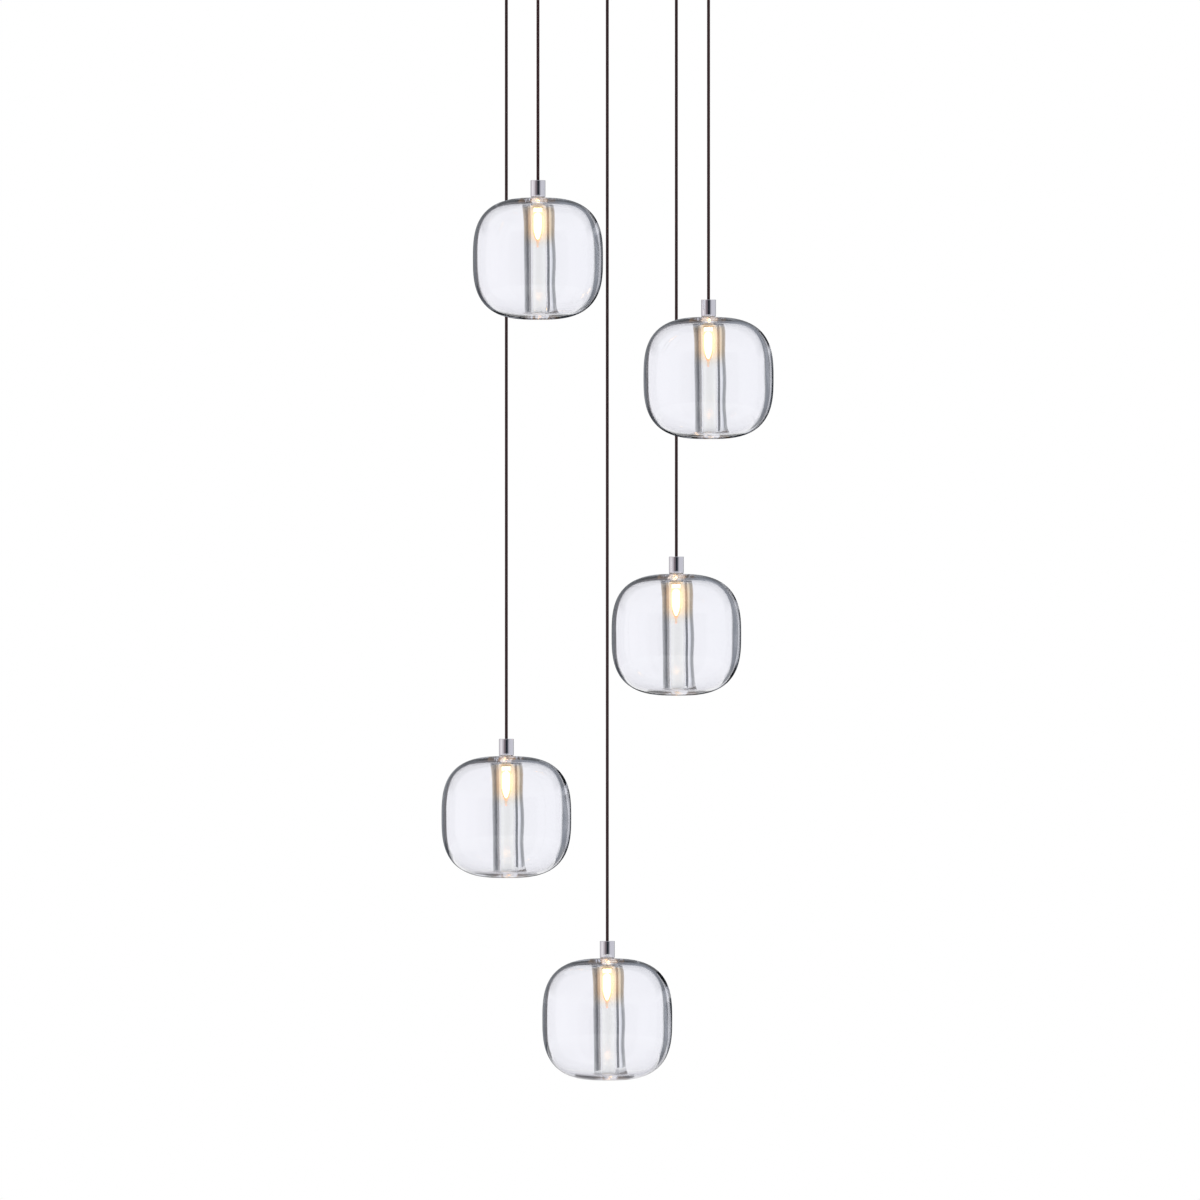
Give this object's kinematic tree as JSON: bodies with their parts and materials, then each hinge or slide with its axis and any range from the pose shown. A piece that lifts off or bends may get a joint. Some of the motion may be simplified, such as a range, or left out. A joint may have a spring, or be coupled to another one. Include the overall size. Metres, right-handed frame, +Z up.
{
  "type": "glass cluster pendant light",
  "caption": "Cluster pendant light: hollow clear crystal-glass blocks with lit inner tubes and chrome caps, hung at stepped heights on dark cords from a round ceiling canopy.",
  "frame": {"origin": "centre of the ceiling plate's four screw holes, on the face that meets the ceiling", "axes": "+Z up to the ceiling, -Y the front side the picture sees, +X to the picture's right"},
  "size_m": [0.3322, 0.3322, 1.1395],
  "materials": {
    "crystal_glass": "hand-blown, fire-polished",
    "bulb_glass": "clear quartz, lit",
    "filament": "glowing",
    "chrome": "polished chrome plate",
    "nickel_brass": "nickel-plated brass",
    "zinc_steel": "zinc plated",
    "steel_ball": "plain steel",
    "cord": "smooth dark brown flexible sheath",
    "clear_silicone": "translucent silicone",
    "ceramic": "unglazed"
  },
  "bodies": {
    "canopy": {"ceiling_plate": "zinc_steel", "canopy_cover": "chrome", "cover_screws": "chrome", "cord_grips": "chrome", "grip_nuts": "zinc_steel"},
    "swivel_1": {"cord_ball_1": "steel_ball"},
    "hanger_1": {"cord_1": "cord", "cord_ferrule_1": "steel_ball"},
    "pendant_1": {"cap_1": "chrome", "retainer_1": "nickel_brass", "washers_1": "clear_silicone", "socket_1": "ceramic", "glass_1": "crystal_glass", "glass_tube_1": "crystal_glass"},
    "lamp_1": {"bulb_1": "bulb_glass", "filament_1": "filament"},
    "swivel_2": {"cord_ball_2": "steel_ball"},
    "hanger_2": {"cord_2": "cord", "cord_ferrule_2": "steel_ball"},
    "pendant_2": {"cap_2": "chrome", "retainer_2": "nickel_brass", "washers_2": "clear_silicone", "socket_2": "ceramic", "glass_2": "crystal_glass", "glass_tube_2": "crystal_glass"},
    "lamp_2": {"bulb_2": "bulb_glass", "filament_2": "filament"},
    "swivel_3": {"cord_ball_3": "steel_ball"},
    "hanger_3": {"cord_3": "cord", "cord_ferrule_3": "steel_ball"},
    "pendant_3": {"cap_3": "chrome", "retainer_3": "nickel_brass", "washers_3": "clear_silicone", "socket_3": "ceramic", "glass_3": "crystal_glass", "glass_tube_3": "crystal_glass"},
    "lamp_3": {"bulb_3": "bulb_glass", "filament_3": "filament"},
    "swivel_4": {"cord_ball_4": "steel_ball"},
    "hanger_4": {"cord_4": "cord", "cord_ferrule_4": "steel_ball"},
    "pendant_4": {"cap_4": "chrome", "retainer_4": "nickel_brass", "washers_4": "clear_silicone", "socket_4": "ceramic", "glass_4": "crystal_glass", "glass_tube_4": "crystal_glass"},
    "lamp_4": {"bulb_4": "bulb_glass", "filament_4": "filament"},
    "swivel_5": {"cord_ball_5": "steel_ball"},
    "hanger_5": {"cord_5": "cord", "cord_ferrule_5": "steel_ball"},
    "pendant_5": {"cap_5": "chrome", "retainer_5": "nickel_brass", "washers_5": "clear_silicone", "socket_5": "ceramic", "glass_5": "crystal_glass", "glass_tube_5": "crystal_glass"},
    "lamp_5": {"bulb_5": "bulb_glass", "filament_5": "filament"}
  },
  "joints": [
    {"name": "swing_front_back_1", "type": "hinge", "parent": "canopy", "child": "swivel_1", "pos_m": [-0.06921, -0.10108, -0.041], "axis": [1, 0, 0], "range_deg": [-4, 4]},
    {"name": "swing_left_right_1", "type": "hinge", "parent": "swivel_1", "child": "hanger_1", "pos_m": [-0.06921, -0.10108, -0.041], "axis": [0, 1, 0], "range_deg": [-4, 4]},
    {"name": "turn_1", "type": "hinge", "parent": "hanger_1", "child": "pendant_1", "pos_m": [-0.06921, -0.10108, -0.2575], "axis": [0, 0, 1], "range_deg": [-180, 180]},
    {"name": "bulb_pull_1", "type": "slide", "parent": "pendant_1", "child": "lamp_1", "axis": [0, 0, -1], "range_m": [0, 0.13]},
    {"name": "swing_front_back_2", "type": "hinge", "parent": "canopy", "child": "swivel_2", "pos_m": [0.10108, -0.06921, -0.041], "axis": [1, 0, 0], "range_deg": [-4, 4]},
    {"name": "swing_left_right_2", "type": "hinge", "parent": "swivel_2", "child": "hanger_2", "pos_m": [0.10108, -0.06921, -0.041], "axis": [0, 1, 0], "range_deg": [-4, 4]},
    {"name": "turn_2", "type": "hinge", "parent": "hanger_2", "child": "pendant_2", "pos_m": [0.10108, -0.06921, -0.3765], "axis": [0, 0, 1], "range_deg": [-180, 180]},
    {"name": "bulb_pull_2", "type": "slide", "parent": "pendant_2", "child": "lamp_2", "axis": [0, 0, -1], "range_m": [0, 0.13]},
    {"name": "swing_front_back_3", "type": "hinge", "parent": "canopy", "child": "swivel_3", "pos_m": [0.06921, 0.10108, -0.041], "axis": [1, 0, 0], "range_deg": [-4, 4]},
    {"name": "swing_left_right_3", "type": "hinge", "parent": "swivel_3", "child": "hanger_3", "pos_m": [0.06921, 0.10108, -0.041], "axis": [0, 1, 0], "range_deg": [-4, 4]},
    {"name": "turn_3", "type": "hinge", "parent": "hanger_3", "child": "pendant_3", "pos_m": [0.06921, 0.10108, -0.633], "axis": [0, 0, 1], "range_deg": [-180, 180]},
    {"name": "bulb_pull_3", "type": "slide", "parent": "pendant_3", "child": "lamp_3", "axis": [0, 0, -1], "range_m": [0, 0.13]},
    {"name": "swing_front_back_4", "type": "hinge", "parent": "canopy", "child": "swivel_4", "pos_m": [-0.10108, 0.06921, -0.041], "axis": [1, 0, 0], "range_deg": [-4, 4]},
    {"name": "swing_left_right_4", "type": "hinge", "parent": "swivel_4", "child": "hanger_4", "pos_m": [-0.10108, 0.06921, -0.041], "axis": [0, 1, 0], "range_deg": [-4, 4]},
    {"name": "turn_4", "type": "hinge", "parent": "hanger_4", "child": "pendant_4", "pos_m": [-0.10108, 0.06921, -0.8155], "axis": [0, 0, 1], "range_deg": [-180, 180]},
    {"name": "bulb_pull_4", "type": "slide", "parent": "pendant_4", "child": "lamp_4", "axis": [0, 0, -1], "range_m": [0, 0.13]},
    {"name": "swing_front_back_5", "type": "hinge", "parent": "canopy", "child": "swivel_5", "pos_m": [0, 0, -0.041], "axis": [1, 0, 0], "range_deg": [-4, 4]},
    {"name": "swing_left_right_5", "type": "hinge", "parent": "swivel_5", "child": "hanger_5", "pos_m": [0, 0, -0.041], "axis": [0, 1, 0], "range_deg": [-4, 4]},
    {"name": "turn_5", "type": "hinge", "parent": "hanger_5", "child": "pendant_5", "pos_m": [0, 0, -1.0175], "axis": [0, 0, 1], "range_deg": [-180, 180]},
    {"name": "bulb_pull_5", "type": "slide", "parent": "pendant_5", "child": "lamp_5", "axis": [0, 0, -1], "range_m": [0, 0.13]}
  ]
}
